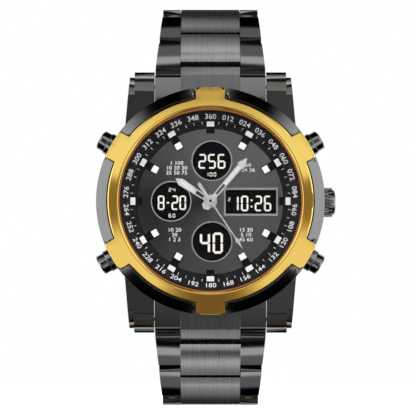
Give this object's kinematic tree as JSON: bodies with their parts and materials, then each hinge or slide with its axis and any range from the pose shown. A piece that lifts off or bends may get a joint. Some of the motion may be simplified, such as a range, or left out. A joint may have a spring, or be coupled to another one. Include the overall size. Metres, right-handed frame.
{
  "type": "analogue-digital wristwatch",
  "caption": "Round wristwatch with hands, digital windows, gold and black bezel, pushers and a steel link bracelet closed by a folding clasp.",
  "frame": {"origin": "middle of the case back's outer face", "axes": "dial faces -Y, 12 o'clock is +Z, 3 o'clock and the crown are +X; +Y points into the wrist"},
  "size_m": [0.0511, 0.0574, 0.087],
  "materials": {
    "case_steel": "black coated, polished",
    "bezel_black": "black coated, brushed",
    "bezel_gold": "gold plated, satin",
    "crystal_glass": "clear, polished",
    "seal_rubber": "plain",
    "chapter_black": "matt with white marks",
    "dial_grey": "fine sunray brushing",
    "marker_black": "gloss with white lume",
    "silver_trim": "polished",
    "display_black": "dark liquid crystal",
    "holder_plastic": "moulded",
    "movement_brass": "satin",
    "board_green": "solder mask",
    "coil_copper": "enamelled wire",
    "battery_steel": "satin",
    "spring_steel": "bright",
    "back_steel": "circular brushing",
    "screw_steel": "polished",
    "button_steel": "black coated, polished",
    "crown_steel": "black coated, fluted",
    "hand_silver": "polished with white lume",
    "link_steel": "black coated, brushed centre and polished sides",
    "clasp_inner": "fine brushed"
  },
  "bodies": {
    "case": {"case_middle": "case_steel", "bezel_base": "bezel_black", "bezel_top": "bezel_gold", "crystal": "crystal_glass", "crystal_gasket": "seal_rubber", "chapter_ring": "chapter_black", "dial": "dial_grey", "hour_markers": "marker_black", "window_frames": "silver_trim", "display_panel": "display_black", "movement_holder": "holder_plastic", "movement_plate": "movement_brass", "circuit_board": "board_green", "stepper_motor": "coil_copper", "battery": "battery_steel", "battery_strap": "spring_steel", "case_back": "back_steel", "case_back_gasket": "seal_rubber", "case_back_screws": "screw_steel", "crown_tube": "case_steel", "pusher_tubes": "button_steel", "pusher_springs": "spring_steel", "lug_spring_bars": "spring_steel", "end_link_12": "link_steel", "end_link_6": "link_steel"},
    "setting_lever": {"setting_lever": "spring_steel"},
    "crown": {"crown": "crown_steel", "winding_stem": "spring_steel"},
    "hour_hand": {"hour_hand": "hand_silver", "hour_wheel": "movement_brass"},
    "minute_hand": {"minute_hand": "hand_silver", "centre_wheel": "movement_brass"},
    "second_hand": {"second_hand": "hand_silver", "seconds_wheel": "movement_brass"},
    "minute_wheel": {"minute_wheel": "movement_brass"},
    "pusher_2": {"pusher_2": "button_steel"},
    "pusher_4": {"pusher_4": "button_steel"},
    "pusher_8": {"pusher_8": "button_steel"},
    "pusher_10": {"pusher_10": "button_steel"},
    "link_12_1": {"link_12_1": "link_steel"},
    "link_12_2": {"link_12_2": "link_steel"},
    "link_12_3": {"link_12_3": "link_steel"},
    "link_12_4": {"link_12_4": "link_steel"},
    "link_12_5": {"link_12_5": "link_steel"},
    "link_12_6": {"link_12_6": "link_steel"},
    "link_12_7": {"link_12_7": "link_steel"},
    "link_12_8": {"link_12_8": "link_steel"},
    "link_6_1": {"link_6_1": "link_steel"},
    "link_6_2": {"link_6_2": "link_steel"},
    "link_6_3": {"link_6_3": "link_steel"},
    "link_6_4": {"link_6_4": "link_steel"},
    "link_6_5": {"link_6_5": "link_steel"},
    "link_6_6": {"link_6_6": "link_steel"},
    "link_6_7": {"link_6_7": "link_steel"},
    "link_6_8": {"link_6_8": "link_steel", "clasp_spring_bar": "spring_steel"},
    "clasp_inner_blade": {"clasp_inner_blade": "clasp_inner"},
    "clasp_middle_blade": {"clasp_middle_blade": "clasp_inner"},
    "clasp_cover": {"clasp_cover": "link_steel"}
  },
  "joints": [
    {"name": "minute_hand_turn", "type": "hinge", "parent": "case", "child": "minute_hand", "pos_m": [0, -0.006, 0], "axis": [0, 1, 0], "continuous": true},
    {"name": "hour_hand_turn", "type": "hinge", "parent": "case", "child": "hour_hand", "pos_m": [0, -0.006, 0], "axis": [0, 1, 0], "continuous": true},
    {"name": "second_hand_turn", "type": "hinge", "parent": "case", "child": "second_hand", "pos_m": [0, -0.006, 0], "axis": [0, 1, 0], "continuous": true},
    {"name": "minute_wheel_turn", "type": "hinge", "parent": "case", "child": "minute_wheel", "pos_m": [-0.00212, -0.006, -0.00212], "axis": [0, 1, 0], "continuous": true},
    {"name": "crown_pull", "type": "slide", "parent": "case", "child": "setting_lever", "axis": [1, 0, 0], "range_m": [0, 0.001]},
    {"name": "crown_turn", "type": "hinge", "parent": "setting_lever", "child": "crown", "pos_m": [0.02, -0.0056, 0], "axis": [1, 0, 0], "continuous": true},
    {"name": "pusher_2_press", "type": "slide", "parent": "case", "child": "pusher_2", "axis": [-0.866, 0, -0.5], "range_m": [0, 0.0007], "stiffness_N_per_m": 1500, "springref_m": -0.0008, "deforming": ["pusher_springs"]},
    {"name": "pusher_4_press", "type": "slide", "parent": "case", "child": "pusher_4", "axis": [-0.866, 0, 0.5], "range_m": [0, 0.0007], "stiffness_N_per_m": 1500, "springref_m": -0.0008, "deforming": ["pusher_springs"]},
    {"name": "pusher_8_press", "type": "slide", "parent": "case", "child": "pusher_8", "axis": [0.866, 0, 0.5], "range_m": [0, 0.0007], "stiffness_N_per_m": 1500, "springref_m": -0.0008, "deforming": ["pusher_springs"]},
    {"name": "pusher_10_press", "type": "slide", "parent": "case", "child": "pusher_10", "axis": [0.866, 0, -0.5], "range_m": [0, 0.0007], "stiffness_N_per_m": 1500, "springref_m": -0.0008, "deforming": ["pusher_springs"]},
    {"name": "link_12_1_bend", "type": "hinge", "parent": "case", "child": "link_12_1", "pos_m": [0, -0.0048, 0.028], "axis": [1, 0, 0], "range_deg": [0, 37]},
    {"name": "link_12_2_bend", "type": "hinge", "parent": "link_12_1", "child": "link_12_2", "pos_m": [0, -0.0001, 0.03496], "axis": [1, 0, 0], "range_deg": [0, 12]},
    {"name": "link_12_3_bend", "type": "hinge", "parent": "link_12_2", "child": "link_12_3", "pos_m": [0, 0.00563, 0.04111], "axis": [1, 0, 0], "range_deg": [0, 50]},
    {"name": "link_12_4_bend", "type": "hinge", "parent": "link_12_3", "child": "link_12_4", "pos_m": [0, 0.01403, 0.04111], "axis": [1, 0, 0], "range_deg": [0, 3]},
    {"name": "link_12_5_bend", "type": "hinge", "parent": "link_12_4", "child": "link_12_5", "pos_m": [0, 0.02243, 0.04111], "axis": [1, 0, 0], "range_deg": [0, 11]},
    {"name": "link_12_6_bend", "type": "hinge", "parent": "link_12_5", "child": "link_12_6", "pos_m": [0, 0.03074, 0.03994], "axis": [1, 0, 0], "range_deg": [0, 29]},
    {"name": "link_12_7_bend", "type": "hinge", "parent": "link_12_6", "child": "link_12_7", "pos_m": [0, 0.03771, 0.03524], "axis": [1, 0, 0], "range_deg": [0, 29]},
    {"name": "link_12_8_bend", "type": "hinge", "parent": "link_12_7", "child": "link_12_8", "pos_m": [0, 0.04191, 0.02797], "axis": [1, 0, 0], "range_deg": [0, 33]},
    {"name": "link_6_1_bend", "type": "hinge", "parent": "case", "child": "link_6_1", "pos_m": [0, -0.0048, -0.028], "axis": [-1, 0, 0], "range_deg": [0, 37]},
    {"name": "link_6_2_bend", "type": "hinge", "parent": "link_6_1", "child": "link_6_2", "pos_m": [0, -0.0001, -0.03496], "axis": [-1, 0, 0], "range_deg": [0, 12]},
    {"name": "link_6_3_bend", "type": "hinge", "parent": "link_6_2", "child": "link_6_3", "pos_m": [0, 0.00563, -0.04111], "axis": [-1, 0, 0], "range_deg": [0, 50]},
    {"name": "link_6_4_bend", "type": "hinge", "parent": "link_6_3", "child": "link_6_4", "pos_m": [0, 0.01403, -0.04111], "axis": [-1, 0, 0], "range_deg": [0, 3]},
    {"name": "link_6_5_bend", "type": "hinge", "parent": "link_6_4", "child": "link_6_5", "pos_m": [0, 0.02243, -0.04111], "axis": [-1, 0, 0], "range_deg": [0, 11]},
    {"name": "link_6_6_bend", "type": "hinge", "parent": "link_6_5", "child": "link_6_6", "pos_m": [0, 0.03074, -0.03994], "axis": [-1, 0, 0], "range_deg": [0, 29]},
    {"name": "link_6_7_bend", "type": "hinge", "parent": "link_6_6", "child": "link_6_7", "pos_m": [0, 0.03771, -0.03524], "axis": [-1, 0, 0], "range_deg": [0, 29]},
    {"name": "link_6_8_bend", "type": "hinge", "parent": "link_6_7", "child": "link_6_8", "pos_m": [0, 0.04191, -0.02797], "axis": [-1, 0, 0], "range_deg": [0, 33]},
    {"name": "clasp_swing", "type": "hinge", "parent": "link_12_8", "child": "clasp_inner_blade", "pos_m": [0, 0.04191, 0.01957], "axis": [-1, 0, 0], "range_deg": [0, 60]},
    {"name": "clasp_open", "type": "hinge", "parent": "clasp_inner_blade", "child": "clasp_middle_blade", "pos_m": [0, 0.04226, -0.01243], "axis": [-1, 0, 0], "range_deg": [0, 140]},
    {"name": "clasp_cover_turn", "type": "hinge", "parent": "clasp_middle_blade", "child": "clasp_cover", "pos_m": [0, 0.04226, 0.01357], "axis": [1, 0, 0], "range_deg": [0, 140]}
  ],
  "couplings": [
    {"joint": "hour_hand_turn", "follows": "minute_hand_turn", "ratio": 0.083333},
    {"joint": "second_hand_turn", "follows": "minute_hand_turn", "ratio": 60},
    {"joint": "minute_wheel_turn", "follows": "minute_hand_turn", "ratio": -0.33333},
    {"joint": "clasp_cover_turn", "follows": "clasp_open", "ratio": 1}
  ]
}
